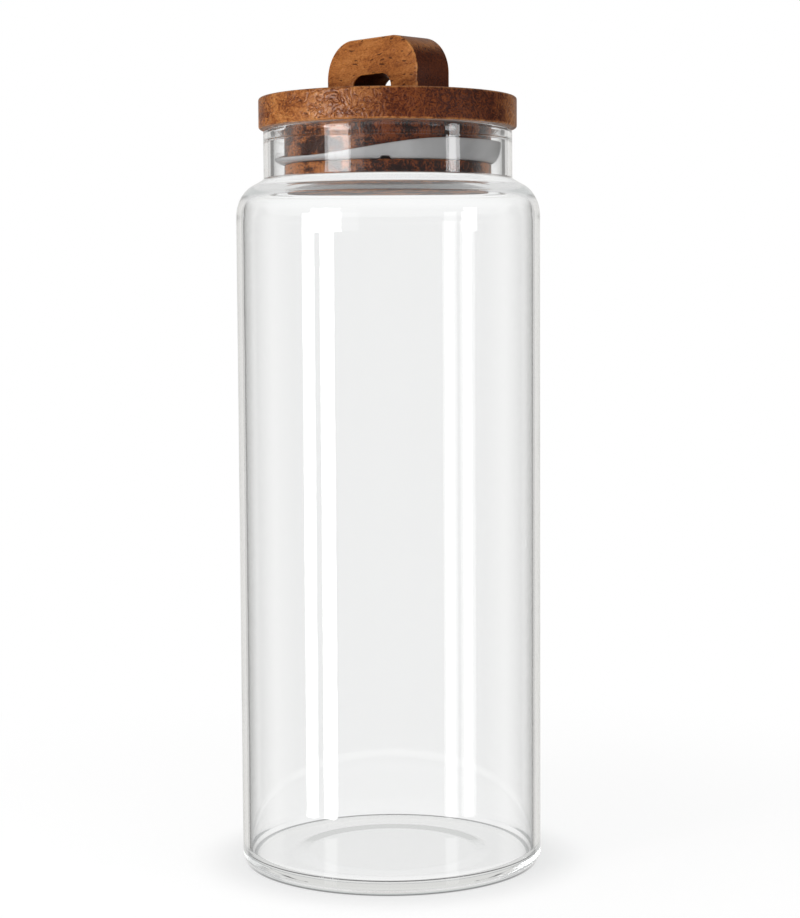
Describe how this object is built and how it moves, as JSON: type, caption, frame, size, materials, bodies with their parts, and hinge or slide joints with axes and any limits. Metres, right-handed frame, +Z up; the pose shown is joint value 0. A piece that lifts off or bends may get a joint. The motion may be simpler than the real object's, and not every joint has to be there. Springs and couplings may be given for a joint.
{
  "type": "storage jar",
  "caption": "Tall clear glass storage jar with a short neck and a push-in wooden lid: turned disc, arched grip and sealing plug with a soft lip ring.",
  "frame": {"origin": "centre of the jar's footprint, on the surface that it stands on", "axes": "+Z up along the jar's axis; X along the width of the lid's handle; Y along the handle's thickness, through its slot"},
  "size_m": [0.1, 0.1, 0.272],
  "materials": {
    "clear_glass": "clear, polished, colourless soda-lime glass",
    "disc_wood": "oiled reddish-brown hardwood with a mottled figure, satin",
    "plug_wood": "oiled dark reddish-brown hardwood, satin",
    "handle_wood": "oiled mid-brown hardwood with fine dark pores, satin",
    "screw_steel": "zinc-plated steel",
    "seal_silicone": "translucent grey silicone, satin"
  },
  "bodies": {
    "jar": {"glass_jar": "clear_glass"},
    "seal": {"lid_seal": "seal_silicone"},
    "lid": {"lid_disc": "disc_wood", "lid_plug": "plug_wood", "lid_handle": "handle_wood", "handle_screws": "screw_steel"}
  },
  "joints": [
    {"name": "lid_lift", "type": "slide", "parent": "jar", "child": "seal", "axis": [0, 0, 1], "range_m": [0, 0.12]},
    {"name": "lid_turn", "type": "hinge", "parent": "seal", "child": "lid", "pos_m": [0, 0, 0.2428], "axis": [0, 0, 1], "continuous": true}
  ]
}
